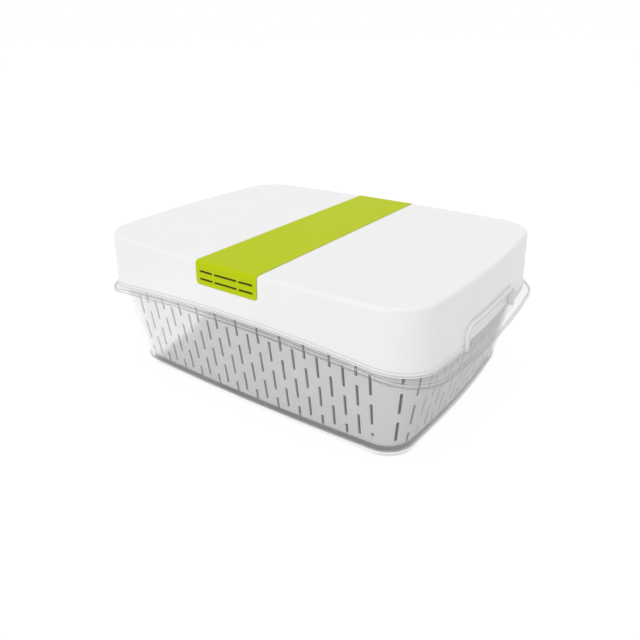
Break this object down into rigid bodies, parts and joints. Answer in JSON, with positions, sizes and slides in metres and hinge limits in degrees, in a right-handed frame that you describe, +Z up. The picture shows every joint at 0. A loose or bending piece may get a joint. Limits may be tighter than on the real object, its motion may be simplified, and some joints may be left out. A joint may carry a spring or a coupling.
{
  "type": "food storage container",
  "caption": "Clear tub with an arched rim, a slotted drain basket that hangs in it, and a white lid with finger notches and a vent band over two filter trays.",
  "frame": {"origin": "middle of the underside of the tub", "axes": "+X along the length, +Y towards the rear long side, +Z up"},
  "size_m": [0.4, 0.294, 0.1484],
  "materials": {
    "clear_plastic": "clear, smooth, glossy, very slightly grey",
    "basket_plastic": "opaque pale grey-white, satin, moulded",
    "white_plastic": "opaque white, satin gloss, moulded",
    "lime_plastic": "opaque lime green, satin, moulded",
    "tray_plastic": "opaque white, satin, moulded",
    "filter_felt": "black carbon-filled felt, matte, fibrous"
  },
  "bodies": {
    "container": {"container": "clear_plastic"},
    "basket": {"basket": "basket_plastic"},
    "lid": {"lid": "white_plastic"},
    "vent_band": {"vent_band": "lime_plastic"},
    "filter_front": {"filter_tray_front": "tray_plastic", "filter_pad_front": "filter_felt"},
    "filter_rear": {"filter_tray_rear": "tray_plastic", "filter_pad_rear": "filter_felt"}
  },
  "joints": [
    {"name": "basket_lift", "type": "slide", "parent": "container", "child": "basket", "axis": [0, 0, 1], "range_m": [0, 0.12]},
    {"name": "lid_lift", "type": "slide", "parent": "basket", "child": "lid", "axis": [0, 0, 1], "range_m": [0, 0.12]},
    {"name": "band_lift", "type": "slide", "parent": "lid", "child": "vent_band", "axis": [0, 0, 1], "range_m": [0, 0.04]},
    {"name": "filter_front_pull", "type": "slide", "parent": "lid", "child": "filter_front", "axis": [0, 1, 0], "range_m": [0, 0.04]},
    {"name": "filter_rear_pull", "type": "slide", "parent": "lid", "child": "filter_rear", "axis": [0, -1, 0], "range_m": [0, 0.04]}
  ]
}
